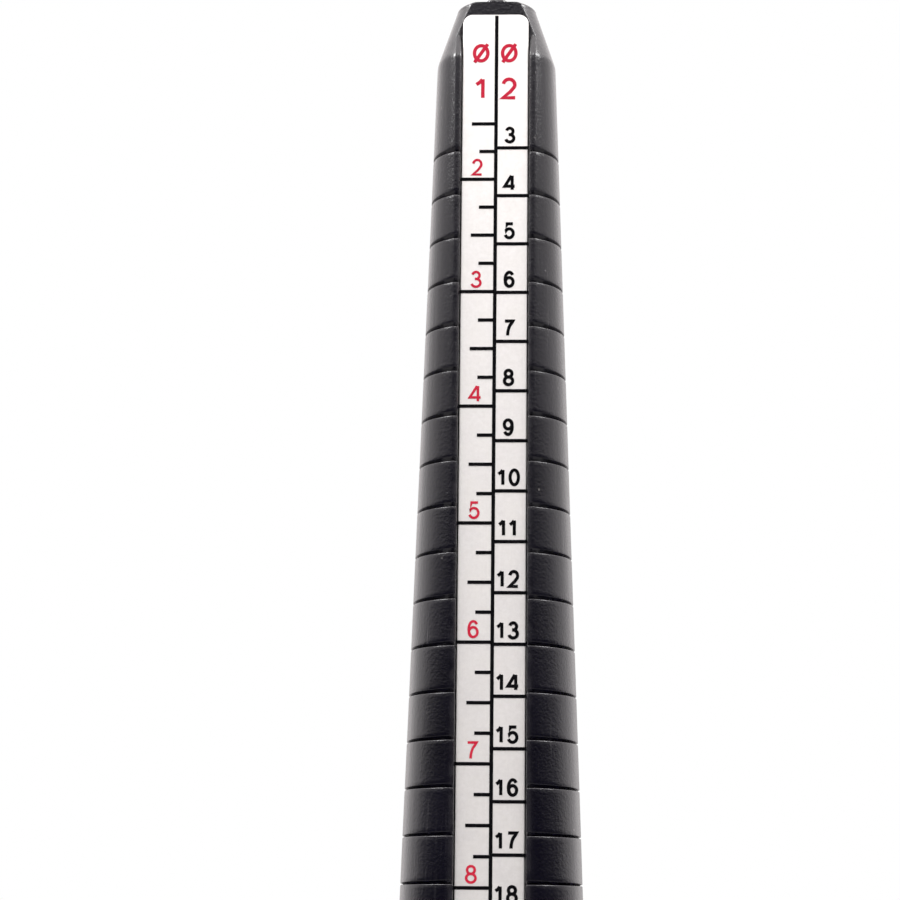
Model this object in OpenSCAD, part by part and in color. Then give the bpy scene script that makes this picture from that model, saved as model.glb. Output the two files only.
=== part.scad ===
// Ring sizer stick: a tapered, grooved gauge for finger ring sizes, with a printed metal scale
// let into a channel on its front and on its rear, a fluted handle and a solid butt cap.
// Millimetres. The stick stands upright on its butt: +Z runs up the axis to the tip, and the
// front scale faces -Y.

/* [Sizes] */
// Ring diameter at size 0 of the front scale's left column
size_zero_d = 11.63; // [11.5:0.01:11.8]
// Growth in diameter for one whole size
size_step_d = 0.8128; // [0.80:0.0001:0.82]
// Length of the stick for one whole size
size_pitch = 12; // [11.8:0.1:12.2]
// Last size that is marked, next to the handle
last_size = 15; // [14:1:15]

/* [Gauge] */
// Height of the last size's mark above the butt
last_mark_z = 88; // [88:1:94]
// Lower end of the gauge, where it meets the handle
gauge_z = 80; // [78:1:82]
// Size at which the nose starts to narrow
nose_size = 0.875; // [0.8:0.025:0.9]
// Height of the narrowing nose
nose_h = 6.2; // [5.5:0.1:7]
// Radius of the nose at its end
nose_r = 4.2; // [4:0.05:4.4]
// Rounding of the nose's end
nose_round = 0.4; // [0.3:0.1:0.9]
// Radius of the gate stub on the nose
stub_r = 1.25; // [1:0.05:1.5]
// Height of the gate stub on the nose
stub_h = 1.2; // [1:0.1:2]

/* [Grooves] */
// Size at which the first groove lies
groove_first_size = 1.73; // [1.7:0.01:1.8]
// Distance between two grooves
groove_pitch = 4.66; // [4.6:0.01:4.7]
// Depth of a groove
groove_depth = 0.35; // [0.2:0.05:0.4]
// Height of a groove's floor
groove_floor = 0.35; // [0.15:0.05:0.4]
// Height of the rounded lip under a groove's floor
groove_lip = 0.1; // [0.05:0.05:0.6]

/* [Channels and strips] */
// Width of a channel
channel_w = 7; // [6.9:0.1:8]
// Depth of a channel below its rims
channel_depth = 1.6; // [1.3:0.1:1.7]
// Width of a scale strip
strip_w = 6.8; // [6.5:0.1:6.8]
// Thickness of a scale strip
strip_t = 0.5; // [0.4:0.1:0.6]
// Radius of a scale strip's corners
strip_corner = 1; // [0.8:0.1:1.6]
// Size at which a strip's upper end lies
strip_top_size = 0.5; // [0.48:0.01:0.6]
// Height of a strip's lower end above the butt
strip_bottom_z = 83; // [82:0.5:84]
// Width of the adhesive tape under a strip
tape_w = 6.4; // [5.5:0.1:6.5]
// Thickness of the adhesive tape under a strip
tape_t = 0.12; // [0.1:0.01:0.2]

/* [Printed lines] */
// Thickness of the printed ink
ink_t = 0.04; // [0.03:0.01:0.05]
// Width of the line between the two columns
column_line_w = 0.36; // [0.2:0.02:0.4]
// Offset of the front column line from the strip's middle
column_line_x = 0.1; // [0:0.01:0.3]
// Height of a graduation line
tick_h = 0.34; // [0.2:0.01:0.36]
// Length of a half size's line
half_tick = 2.5; // [2:0.02:2.6]
// Length of a quarter size's line
quarter_tick = 1.7; // [1.2:0.01:1.8]

/* [Handle] */
// Radius of the handle and of the butt cap
handle_r = 11; // [10.6:0.1:11.4]
// Radius of the handle's bore
handle_bore_r = 8; // [7.5:0.1:8.2]
// Radius of the collar that meets the gauge
collar_r = 12.7; // [12.5:0.1:13]
// Height of the collar
collar_h = 4; // [3:0.5:5]
// Number of flutes round the handle
flute_count = 12; // [8:1:14]
// Radius of the cutter that makes a flute
flute_r = 3; // [2.5:0.1:3.2]
// Depth of a flute
flute_depth = 0.9; // [0.6:0.1:1]
// Radius of the spigot that enters the gauge
spigot_r = 7.7; // [7.5:0.1:7.8]
// Length of the spigot that enters the gauge
spigot_h = 20; // [15:1:24]

/* [Butt cap] */
// Height of the butt cap below the handle
cap_h = 16; // [15:1:18]
// Radius of the hanging hole through the butt cap
hang_r = 3; // [2:0.1:3.2]
// Height of the hanging hole above the butt
hang_z = 8; // [7:0.5:9]
// Rounding of the butt's edge
butt_round = 1.2; // [0.8:0.1:1.6]

/* [Hidden] */
$fn = 96;

// Heights and radii of the taper
function size_z(n) = last_mark_z + (last_size - n) * size_pitch;
function size_r(n) = (size_zero_d + size_step_d * n) / 2;
function gauge_r(z) = size_r(last_size - (z - last_mark_z) / size_pitch);

nose_z = size_z(nose_size);
tip_z = nose_z + nose_h;
groove_first_z = size_z(groove_first_size);
groove_margin = 4;
groove_count = floor((groove_first_z - gauge_z - groove_margin) / groove_pitch) + 1;
edge_break = 0.4;
reach = 40;

// Cavity left by the core pin, which also takes the handle's spigot
fit_gap = 0.05;
socket_r = spigot_r + fit_gap;
socket_z = gauge_z + spigot_h + 1;
cavity_tip_r = 1.8;
cavity_tip_z = nose_z - 4;

// A channel's floor keeps one depth below the channel's rims from end to end
function rim_y(z) = sqrt(pow(gauge_r(z), 2) - pow(channel_w / 2, 2));
floor_y = rim_y(last_mark_z) - channel_depth;
floor_tilt = atan((rim_y(last_mark_z) - rim_y(nose_z)) / (nose_z - last_mark_z));
function along(z) = (z - last_mark_z) / cos(floor_tilt);
strip_low = along(strip_bottom_z);
strip_high = along(size_z(strip_top_size));
strip_face = tape_t + strip_t;
tape_margin = 0.5;
line_margin = 0.12;

// Steps of each printed column, in sizes of the front scale's left column
left_first_size = 1.5;
left_step = 0.25;
right_first_size = 1.7176;
right_step = 0.4299;
rear_right_first_size = 1.6856;
rear_right_step = 0.4101;

// Handle and cap
flute_margin = 5;
flute_runout = 3;
flute_axis = handle_r - flute_depth + flute_r;
flute_end_r = flute_axis - handle_r - 0.1;
collar_z = gauge_z - collar_h;
collar_fall = 1.5;
spigot_top = gauge_z + spigot_h;
spigot_bore_r = 5.6;
plug_r = handle_bore_r - fit_gap;
plug_top = cap_h + 10;
cap_floor = 13;
cap_bore_r = 6;
round_steps = 4;

// Points of a quarter round that starts at the side of an edge at [r, z] and ends on its face,
// which lies above for up = 1 and below for up = -1
function quarter_round(r, z, radius, up) = [
    for (i = [0:round_steps])
        let (a = 90 * i / round_steps)
        [r - radius * (1 - cos(a)), z - up * radius * (1 - sin(a))]
];

// Outline of the gauge, from its lower end up to the middle of the nose
function groove_points(z) = [
    [gauge_r(z - groove_floor - groove_lip), z - groove_floor - groove_lip],
    [gauge_r(z) - groove_depth * 0.3, z - groove_floor - groove_lip * 0.4],
    [gauge_r(z) - groove_depth, z - groove_floor],
    [gauge_r(z) - groove_depth, z],
    [gauge_r(z), z]
];
function gauge_outline() = concat(
    [[socket_r, gauge_z], [gauge_r(gauge_z) - edge_break, gauge_z]],
    [[gauge_r(gauge_z + edge_break), gauge_z + edge_break]],
    [for (k = [groove_count - 1:-1:0]) each groove_points(groove_first_z - k * groove_pitch)],
    [[gauge_r(nose_z), nose_z]],
    quarter_round(nose_r, tip_z, nose_round, 1),
    [[stub_r, tip_z]],
    quarter_round(stub_r, tip_z + stub_h, edge_break, 1),
    [[0, tip_z + stub_h]]
);
function cavity_outline() = [
    [0, cavity_tip_z + cavity_tip_r], [cavity_tip_r, cavity_tip_z],
    [socket_r - 1, socket_z + 1], [socket_r, socket_z]
];

// Local frame of a channel's floor: X across, Z up along the floor, -Y out of the stick
module on_front() {
    translate([0, -floor_y, last_mark_z]) rotate([-floor_tilt, 0, 0]) children();
}
module on_rear() {
    rotate([0, 0, 180]) on_front() children();
}

module channel_cut() {
    translate([-channel_w / 2, -reach, -reach])
        cube([channel_w, reach, tip_z + reach]);
}

module gauge_body() {
    color("#1c1b1f")
    difference() {
        rotate_extrude() polygon(concat(gauge_outline(), cavity_outline()));
        on_front() channel_cut();
        on_rear() channel_cut();
    }
}

// Flat plate with round corners that stands on the channel's floor at height lift
module plate(w, low, high, corner, lift, thickness) {
    translate([0, -lift, 0]) rotate([90, 0, 0]) linear_extrude(thickness) union() {
        translate([-w / 2, low + corner]) square([w, high - low - 2 * corner]);
        translate([-w / 2 + corner, low]) square([w - 2 * corner, high - low]);
        for (x = [-1, 1], y = [low + corner, high - corner])
            translate([x * (w / 2 - corner), y]) circle(corner);
    }
}

module scale_strip() {
    color("#e6e3df") plate(strip_w, strip_low, strip_high, strip_corner, tape_t, strip_t);
}
module strip_tape() {
    color("#d8d2b8")
        plate(tape_w, strip_low + tape_margin, strip_high - tape_margin, strip_corner, 0, tape_t);
}
module front_scale_strip() { on_front() scale_strip(); }
module rear_scale_strip() { on_rear() scale_strip(); }
module front_strip_tape() { on_front() strip_tape(); }
module rear_strip_tape() { on_rear() strip_tape(); }

// One graduation line from x0 to x1 at a given size
module tick(size, x0, x1) {
    translate([x0, along(size_z(size)) - tick_h / 2]) square([x1 - x0, tick_h]);
}
// Graduation lines at equal steps, from a first size up to the last size
module ticks(first, step, x0, x1) {
    for (n = [first:step:last_size]) tick(n, x0, x1);
}
module column_line(x) {
    translate([x - column_line_w / 2, strip_low + line_margin])
        square([column_line_w, strip_high - strip_low - 2 * line_margin]);
}
module ink() {
    color("#0c0b0d") translate([0, -strip_face, 0]) rotate([90, 0, 0])
        linear_extrude(ink_t) union() children();
}

// The left column starts at a half size: its lines are a half, a quarter, a whole, a quarter
module front_scale_lines() {
    x = column_line_x;
    on_front() ink() {
        column_line(x);
        ticks(left_first_size, 4 * left_step, x - half_tick, x);
        ticks(left_first_size + left_step, 2 * left_step, x - quarter_tick, x);
        ticks(left_first_size + 2 * left_step, 4 * left_step, -strip_w / 2, x);
        ticks(right_first_size, right_step, x, strip_w / 2);
    }
}
// The rear's left column has one line for each groove
module rear_scale_lines() {
    on_rear() ink() {
        column_line(0);
        ticks(groove_first_size, groove_pitch / size_pitch, -strip_w / 2, 0);
        ticks(rear_right_first_size, rear_right_step, 0, strip_w / 2);
    }
}

module flute() {
    low = cap_h + flute_margin;
    high = collar_z - flute_margin;
    translate([flute_axis, 0, low]) cylinder(h = high - low, r = flute_r);
    translate([flute_axis, 0, high]) cylinder(h = flute_runout, r1 = flute_r, r2 = flute_end_r);
    translate([flute_axis, 0, low - flute_runout])
        cylinder(h = flute_runout, r1 = flute_end_r, r2 = flute_r);
}

// Fluted tube with a collar and a spigot that is glued into the gauge
module handle_grip() {
    color("#1f1e22")
    difference() {
        rotate_extrude() polygon([
            [handle_bore_r, cap_h], [handle_r - edge_break, cap_h], [handle_r, cap_h + edge_break],
            [handle_r, collar_z - collar_fall], [collar_r - edge_break, collar_z],
            [collar_r, collar_z + edge_break], [collar_r, gauge_z - edge_break],
            [collar_r - edge_break, gauge_z], [spigot_r, gauge_z], [spigot_r, spigot_top - 1],
            [spigot_r - 0.6, spigot_top], [spigot_bore_r, spigot_top],
            [spigot_bore_r, collar_z], [handle_bore_r, collar_z - 3]
        ]);
        for (i = [0:flute_count - 1])
            rotate([0, 0, (i + 0.5) * 360 / flute_count]) flute();
    }
}

// Solid butt with a cross hole to hang the stick by, and a hollow plug glued into the handle
module butt_cap() {
    butt_edge = quarter_round(handle_r, 0, butt_round, -1);
    color("#1f1e22")
    difference() {
        rotate_extrude() polygon(concat(
            [[0, 0]],
            [for (i = [round_steps:-1:0]) butt_edge[i]],
            [[handle_r, cap_h - edge_break], [handle_r - edge_break, cap_h], [plug_r, cap_h]],
            [[plug_r, plug_top - 0.8], [plug_r - 0.5, plug_top], [cap_bore_r, plug_top]],
            [[cap_bore_r, cap_floor], [0, cap_floor]]
        ));
        translate([0, reach / 2, hang_z]) rotate([90, 0, 0]) cylinder(h = reach, r = hang_r);
    }
}

gauge_body();
front_scale_strip();
rear_scale_strip();
front_strip_tape();
rear_strip_tape();
front_scale_lines();
rear_scale_lines();
handle_grip();
butt_cap();
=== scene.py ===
"""The looks of the ring sizer stick: moulded black gauge, metal scale strips, printed numbers.

Lengths are in metres. The stick stands on its butt, +Z runs up to its tip, and the front scale
faces -Y. Positions come from the boxes of the CAD nodes and from the taper's own rule.
"""

import math

import bmesh
import bpy
from mathutils import Matrix, Vector, noise


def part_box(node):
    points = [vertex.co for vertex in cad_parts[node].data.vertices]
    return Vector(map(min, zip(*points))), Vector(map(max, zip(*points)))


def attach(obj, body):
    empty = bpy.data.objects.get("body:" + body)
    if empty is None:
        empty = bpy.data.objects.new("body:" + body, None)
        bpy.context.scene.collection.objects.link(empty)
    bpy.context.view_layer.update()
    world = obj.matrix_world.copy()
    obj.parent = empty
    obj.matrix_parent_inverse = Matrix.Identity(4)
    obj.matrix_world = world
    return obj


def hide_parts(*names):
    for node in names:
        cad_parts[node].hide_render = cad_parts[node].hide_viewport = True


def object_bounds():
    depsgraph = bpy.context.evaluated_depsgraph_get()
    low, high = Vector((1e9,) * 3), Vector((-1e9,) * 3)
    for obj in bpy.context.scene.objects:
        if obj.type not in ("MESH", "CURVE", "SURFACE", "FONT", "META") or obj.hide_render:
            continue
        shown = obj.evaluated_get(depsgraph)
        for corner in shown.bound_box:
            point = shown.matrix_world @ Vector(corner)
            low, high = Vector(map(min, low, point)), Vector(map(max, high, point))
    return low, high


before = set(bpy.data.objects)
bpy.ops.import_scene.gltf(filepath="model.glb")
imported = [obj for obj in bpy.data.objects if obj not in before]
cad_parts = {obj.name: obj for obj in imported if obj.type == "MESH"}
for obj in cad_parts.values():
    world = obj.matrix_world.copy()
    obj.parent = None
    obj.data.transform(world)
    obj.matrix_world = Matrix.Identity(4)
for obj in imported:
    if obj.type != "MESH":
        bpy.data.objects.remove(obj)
cad_low, cad_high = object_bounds()

MM = 0.001
GAUGE_LOW, GAUGE_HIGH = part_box("gauge_body")
HANDLE_LOW, HANDLE_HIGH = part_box("handle_grip")
CAP_LOW, CAP_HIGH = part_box("butt_cap")

# The rule of the taper: a ring of size n has this inner diameter and sits at this height
SIZE_ZERO_D = 11.63 * MM
SIZE_STEP_D = 0.8128 * MM
SIZE_PITCH = 12 * MM
LAST_SIZE = 15
LAST_MARK_Z = GAUGE_LOW.z + 8 * MM


def size_z(n):
    """Height of the mark of US size n."""
    return LAST_MARK_Z + (LAST_SIZE - n) * SIZE_PITCH


def gauge_r(z):
    """The gauge's radius at a height."""
    n = LAST_SIZE - (z - LAST_MARK_Z) / SIZE_PITCH
    return (SIZE_ZERO_D + SIZE_STEP_D * n) / 2


# Nose: a cone from NOSE_Z to its end face at TIP_Z, with a small stub on that
NOSE_Z = size_z(0.875)
STUB_H = 1.2 * MM
STUB_R = 1.25 * MM
TIP_Z = GAUGE_HIGH.z - STUB_H
NOSE_R = 4.2 * MM
NOSE_ROUND = 0.4 * MM

# Grooves, one for each number of the rear left column
GROOVE_FIRST_SIZE = 1.73
GROOVE_FIRST_Z = size_z(GROOVE_FIRST_SIZE)
GROOVE_PITCH = 4.66 * MM
GROOVE_COUNT = int((GROOVE_FIRST_Z - GAUGE_LOW.z - 4 * MM) / GROOVE_PITCH) + 1
GROOVE_DEPTH = 0.35 * MM
# How far a groove's middle lies below its size's own height, and half its height without the
# round edges
GROOVE_MIDDLE = 0.15 * MM
GROOVE_HALF = 0.07 * MM
# How far a groove's edge climbs from the side to the front, and how that fades down the stick
GROOVE_DRAFT = 0.2 * MM
DRAFT_FADE = 0.025
# Roundings of a groove's lower and upper edges
GROOVE_LIP = 0.09 * MM
GROOVE_EDGE = 0.05 * MM

# Channels and what lies in them
CHANNEL_HALF = 3.5 * MM
CHANNEL_DEPTH = 1.6 * MM
RIM_ROUND = 0.4 * MM
TAPE_T = 0.12 * MM
STRIP_T = 0.5 * MM
STRIP_HALF = 3.4 * MM
STRIP_CORNER = 1.0 * MM
INK_T = 0.04 * MM


def rim_y(z):
    """How far out a channel's rims are at a height."""
    return math.sqrt(gauge_r(z) ** 2 - CHANNEL_HALF ** 2)


FLOOR_SLOPE = (rim_y(LAST_MARK_Z) - rim_y(NOSE_Z)) / (NOSE_Z - LAST_MARK_Z)
FLOOR_TILT = math.atan(FLOOR_SLOPE)
FLOOR_Y = rim_y(LAST_MARK_Z) - CHANNEL_DEPTH


def floor_y(z):
    """How far out a channel's floor is at a height."""
    return FLOOR_Y - FLOOR_SLOPE * (z - LAST_MARK_Z)


def along(z):
    """Distance of a height along a channel's floor, from the last mark up."""
    return (z - LAST_MARK_Z) / math.cos(FLOOR_TILT)


# A channel's own frame: X across, Z up along its floor, -Y out of the stick
FRONT = Matrix.Translation((0, -FLOOR_Y, LAST_MARK_Z)) @ Matrix.Rotation(-FLOOR_TILT, 4, "X")
REAR = Matrix.Rotation(math.pi, 4, "Z") @ FRONT
STRIP_LOW = along(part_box("front_scale_strip")[0].z)
STRIP_HIGH = along(size_z(0.5))


# ---------------------------------------------------------------- camera, light and floor

CAMERA_PLACE = Vector((7.09, -270.72, 164.94)) * MM
CAMERA_PITCH = math.radians(10.787)
CAMERA_YAW = math.radians(2.457)
CAMERA_ROLL = math.radians(0.547)
CAMERA_LENS = 107.53
CAMERA_SENSOR = 36
FLOOR_SIZE = 6
FLOOR_GREY = (0.52, 0.52, 0.515, 1)
TENT_WHITE = (1, 1, 1, 1)
TENT_TINT = (1, 0.955, 0.955, 1)
# Name, place, size and power of each soft box, all of them aimed at SOFT_BOX_AIM
SOFT_BOX_AIM = (0, 0, 0.18)
SOFT_BOXES = [
    ("soft_box_front", (0, -0.5, 0.78), (0.35, 0.2), 1.6),
    ("soft_box_left", (-0.76, -0.02, 0.8), (0.24, 0.24), 4.0),
    ("soft_box_right", (0.78, 0.0, 0.82), (0.24, 0.24), 4.0),
]


def make_camera():
    data = bpy.data.cameras.new("camera")
    data.sensor_width = CAMERA_SENSOR
    data.lens = CAMERA_LENS
    data.clip_start = 0.01
    data.clip_end = 20
    camera = bpy.data.objects.new("camera", data)
    turn = Matrix.Rotation(CAMERA_YAW, 4, "Z") @ Matrix.Rotation(math.pi / 2 + CAMERA_PITCH, 4, "X")
    turn = turn @ Matrix.Rotation(CAMERA_ROLL, 4, "Z")
    camera.matrix_world = Matrix.Translation(CAMERA_PLACE) @ turn
    bpy.context.scene.collection.objects.link(camera)
    bpy.context.scene.camera = camera


def socket_value(tree, socket, value):
    """Links value to the socket if it is another node's output, or else sets it."""
    if isinstance(value, bpy.types.NodeSocket):
        tree.links.new(value, socket)
    else:
        socket.default_value = value


def add(tree, kind, settings=None, **inputs):
    """Adds a node, sets its properties and its inputs, which are named or numbered as i0, i1,
    and returns its first output."""
    node = tree.nodes.new(kind)
    for name, value in (settings or {}).items():
        setattr(node, name, value)
    for name, value in inputs.items():
        numbered = name[0] == "i" and name[1:].isdigit()
        key = int(name[1:]) if numbered else name
        socket_value(tree, node.inputs[key], value)
    return node.outputs[0]


def maths(tree, operation, a, b=0.0, c=0.0):
    return add(tree, "ShaderNodeMath", {"operation": operation}, i0=a, i1=b, i2=c)


def remap(tree, value, low, high, to_low, to_high, smooth=False):
    kind = "SMOOTHSTEP" if smooth else "LINEAR"
    return add(
        tree, "ShaderNodeMapRange", {"interpolation_type": kind},
        i0=value, i1=low, i2=high, i3=to_low, i4=to_high,
    )


def weighted_sum(tree, start, *terms):
    """start, plus each term's value times its weight."""
    total = start
    for value, weight in terms:
        total = maths(tree, "MULTIPLY_ADD", value, weight, total)
    return total


def mix_colour(tree, factor, a, b):
    node = tree.nodes.new("ShaderNodeMix")
    node.data_type = "RGBA"
    socket_value(tree, node.inputs[0], factor)
    socket_value(tree, node.inputs[6], a)
    socket_value(tree, node.inputs[7], b)
    return node.outputs[2]


def tent_level(tree, y, z):
    """The tent's brightness in a direction. Its walls are white above a soft edge, which stands
    above the horizon in front and below it behind. They are brightest beside the way straight
    back. The ceiling is brighter, and the ground is grey."""
    rise = weighted_sum(tree, z, (y, 0.275))
    rise = maths(tree, "ADD", rise, remap(tree, y, 0.1, 0.5, 0.0, 0.1))
    walls = remap(tree, rise, 0.046, 0.306, 0.0, 1.0, smooth=True)
    sides = remap(tree, y, 0.1, 0.85, 1.12, 1.5)
    sides = maths(tree, "SUBTRACT", sides, remap(tree, y, 0.85, 1.0, 0.0, 0.8))
    walls = maths(tree, "MULTIPLY_ADD", walls, sides, 0.03)
    ceiling = remap(tree, z, 0.45, 0.85, 0.0, 2.0, smooth=True)
    ground = remap(tree, z, -0.08, -0.35, 0.0, 0.5, smooth=True)
    return maths(tree, "ADD", walls, maths(tree, "ADD", ceiling, ground))


def make_world():
    """White all round for the camera, and a small photographer's tent for light and gloss."""
    world = bpy.data.worlds.new("tent")
    bpy.context.scene.world = world
    world.use_nodes = True
    tree = world.node_tree
    tree.nodes.clear()
    coords = tree.nodes.new("ShaderNodeTexCoord")
    parts = tree.nodes.new("ShaderNodeSeparateXYZ")
    tree.links.new(coords.outputs["Generated"], parts.inputs[0])
    level = tent_level(tree, parts.outputs["Y"], parts.outputs["Z"])
    seen = tree.nodes.new("ShaderNodeLightPath").outputs["Is Camera Ray"]
    strength = add(tree, "ShaderNodeMix", {"data_type": "FLOAT"}, i0=seen, i2=level, i3=1.0)
    tint = mix_colour(tree, seen, TENT_TINT, TENT_WHITE)
    background = add(tree, "ShaderNodeBackground", Color=tint, Strength=strength)
    output = tree.nodes.new("ShaderNodeOutputWorld")
    tree.links.new(background, output.inputs["Surface"])


def make_light(name, place, size, power):
    data = bpy.data.lights.new(name, "AREA")
    data.shape = "RECTANGLE"
    data.size, data.size_y = size
    data.energy = power
    light = bpy.data.objects.new(name, data)
    light.location = place
    light.rotation_mode = "QUATERNION"
    aim = Vector(SOFT_BOX_AIM) - Vector(place)
    light.rotation_quaternion = aim.to_track_quat("-Z", "Y")
    bpy.context.scene.collection.objects.link(light)


def make_stage():
    """A pale floor, and soft boxes that pick out the strip, the nose and the groove lips."""
    bpy.ops.mesh.primitive_plane_add(size=FLOOR_SIZE, location=(0, 0, cad_low.z))
    floor = bpy.context.object
    floor.name = "floor"
    material = bpy.data.materials.new("pale_floor")
    material.use_nodes = True
    shader = material.node_tree.nodes["Principled BSDF"]
    shader.inputs["Base Color"].default_value = FLOOR_GREY
    shader.inputs["Roughness"].default_value = 0.7
    floor.data.materials.append(material)
    floor.visible_glossy = False
    for name, place, size, power in SOFT_BOXES:
        make_light(name, place, size, power)


# ---------------------------------------------------------------- materials

GAUGE_BLACK = (0.0012, 0.001, 0.0036, 1)
HANDLE_BLACK = (0.0016, 0.0014, 0.004, 1)
# Grey of scuffs and worn edges, and of the painted highlight along the marked edges
WORN_AND_HIGHLIGHT_GREY = (0.035, 0.034, 0.038, 1)
DUST = (0.16, 0.155, 0.15, 1)
METAL_PALE = (0.91, 0.897, 0.885, 1)
METAL_SMUDGED = (0.84, 0.827, 0.806, 1)
METAL_SPECKLED = (0.68, 0.665, 0.645, 1)
METAL_GRAIN = (0.62, 0.6, 0.6, 1)
BLACK_INK = (0.0012, 0.0012, 0.002, 1)
BLACK_THIN = (0.012, 0.012, 0.014, 1)
RED_INK = (0.44, 0.016, 0.04, 1)
RED_THIN = (0.54, 0.05, 0.085, 1)
TAPE_DARK = (0.6, 0.55, 0.4, 1)
TAPE_PALE = (0.78, 0.74, 0.6, 1)
# Roughness of each plastic, and how many grains of it there are to a metre
GAUGE_FINISH = (0.16, 3600.0)
HANDLE_FINISH = (0.26, 2600.0)


def new_material(name):
    material = bpy.data.materials.new(name)
    material.use_nodes = True
    tree = material.node_tree
    shader = tree.nodes["Principled BSDF"]
    coords = tree.nodes.new("ShaderNodeTexCoord").outputs["Object"]
    return material, tree, shader, coords


def link_shader(tree, shader, base, rough, normal):
    tree.links.new(base, shader.inputs["Base Color"])
    tree.links.new(rough, shader.inputs["Roughness"])
    tree.links.new(normal, shader.inputs["Normal"])


def stretched(tree, coords, x, y, z):
    """The object's coordinates with each axis multiplied, to draw a pattern out along one."""
    return add(tree, "ShaderNodeVectorMath", {"operation": "MULTIPLY"}, i0=coords, i1=(x, y, z))


def noise_at(tree, vector, scale, detail=3.0, roughness=0.55):
    return add(tree, "ShaderNodeTexNoise", Vector=vector, Scale=scale, Detail=detail,
               Roughness=roughness)


def scuff_marks(tree, coords):
    """Fine scratches along the stick, in patches, from 0 to 1."""
    scratch = noise_at(tree, stretched(tree, coords, 2600, 2600, 60), 1.0, 2.0, 0.7)
    patch = remap(tree, noise_at(tree, coords, 160.0, 2.0), 0.45, 0.65, 0.0, 1.0)
    return maths(tree, "MULTIPLY", remap(tree, scratch, 0.6, 0.74, 0.0, 1.0), patch)


def edge_wear(tree, coords):
    """The mesh's own wear and painted highlight, which lie along its edges, broken up by a fine noise.
    """
    attribute = tree.nodes.new("ShaderNodeAttribute")
    attribute.attribute_name = "wear_and_highlight"
    broken = remap(tree, noise_at(tree, coords, 700.0), 0.35, 0.6, 0.25, 1.0)
    return maths(tree, "MULTIPLY", attribute.outputs["Fac"], broken)


def dust_specks(tree, coords):
    """Small round specks in a few places, from 0 to 0.5."""
    dust = tree.nodes.new("ShaderNodeTexVoronoi")
    dust.feature = "F1"
    dust.inputs["Scale"].default_value = 620.0
    tree.links.new(coords, dust.inputs["Vector"])
    speck = remap(tree, dust.outputs["Distance"], 0.045, 0.11, 1.0, 0.0)
    place = remap(tree, noise_at(tree, coords, 240.0), 0.56, 0.62, 0.0, 0.5)
    return maths(tree, "MULTIPLY", speck, place)


def plastic(name, colour, finish):
    """Black moulded plastic: fine grain, draw marks and scuffs along it, edges made paler by wear and
    by a painted highlight, dust.
    """
    roughness, grain = finish
    material, tree, shader, coords = new_material(name)
    fine = noise_at(tree, coords, grain, 4.0, 0.6)
    cloud = noise_at(tree, coords, 90.0, 3.0)
    draw = noise_at(tree, stretched(tree, coords, 1100, 1100, 22), 1.0, 3.0)
    scuffed = scuff_marks(tree, coords)
    wear_and_highlight = edge_wear(tree, coords)
    paler = tuple(1.9 * c for c in colour[:3]) + (1,)
    base = mix_colour(tree, remap(tree, cloud, 0.35, 0.7, 0.0, 0.5), colour, paler)
    base = mix_colour(tree, maths(tree, "MULTIPLY", scuffed, 0.22), base, WORN_AND_HIGHLIGHT_GREY)
    # Edges made paler: partly wear, partly a painted highlight
    base = mix_colour(tree, maths(tree, "MULTIPLY", wear_and_highlight, 0.6), base, WORN_AND_HIGHLIGHT_GREY)
    base = mix_colour(tree, dust_specks(tree, coords), base, DUST)
    rough = weighted_sum(
        tree, roughness - 0.1, (cloud, 0.1), (draw, 0.12), (wear_and_highlight, -0.1), (scuffed, 0.12)
    )
    height = weighted_sum(tree, 0.0, (fine, 0.6), (draw, 0.25), (scuffed, -0.25))
    normal = add(tree, "ShaderNodeBump", Strength=0.75, Distance=0.07 * MM, Height=height)
    link_shader(tree, shader, base, rough, normal)
    return material


def strip_metal():
    """Silvery white satin metal with a fine lengthwise grain and faint smudges."""
    material, tree, shader, coords = new_material("satin_strip_metal")
    grain = noise_at(tree, stretched(tree, coords, 5200, 5200, 130), 1.0, 3.0)
    fine = noise_at(tree, coords, 5200.0, 2.0)
    smudged = remap(tree, noise_at(tree, coords, 420.0, 4.0, 0.6), 0.38, 0.64, 0.0, 1.0)
    speckle = remap(tree, noise_at(tree, coords, 2300.0, 3.0, 0.7), 0.35, 0.65, 0.0, 1.0)
    base = mix_colour(tree, smudged, METAL_PALE, METAL_SMUDGED)
    base = mix_colour(tree, maths(tree, "MULTIPLY", speckle, 0.22), base, METAL_SPECKLED)
    base = mix_colour(tree, maths(tree, "MULTIPLY", grain, 0.14), base, METAL_GRAIN)
    rough = weighted_sum(tree, 0.38, (smudged, 0.07), (grain, 0.08))
    height = weighted_sum(tree, 0.0, (grain, 0.7), (fine, 0.3))
    normal = add(tree, "ShaderNodeBump", Strength=0.22, Distance=0.02 * MM, Height=height)
    shader.inputs["Metallic"].default_value = 0.6
    link_shader(tree, shader, base, rough, normal)
    return material


def ink(name, colour, thin):
    """Printed ink: a little uneven in depth, with the print's fine pinholes."""
    material, tree, shader, coords = new_material(name)
    mottle = noise_at(tree, coords, 3200.0, 3.0, 0.6)
    pinhole = remap(tree, noise_at(tree, coords, 9000.0, 1.0), 0.68, 0.76, 0.0, 0.5)
    base = mix_colour(tree, remap(tree, mottle, 0.45, 0.75, 0.0, 0.4), colour, thin)
    base = mix_colour(tree, pinhole, base, thin)
    rough = weighted_sum(tree, 0.55, (mottle, 0.2))
    normal = add(tree, "ShaderNodeBump", Strength=0.2, Distance=0.01 * MM, Height=mottle)
    shader.inputs["Specular IOR Level"].default_value = 0.04
    link_shader(tree, shader, base, rough, normal)
    return material


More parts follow.
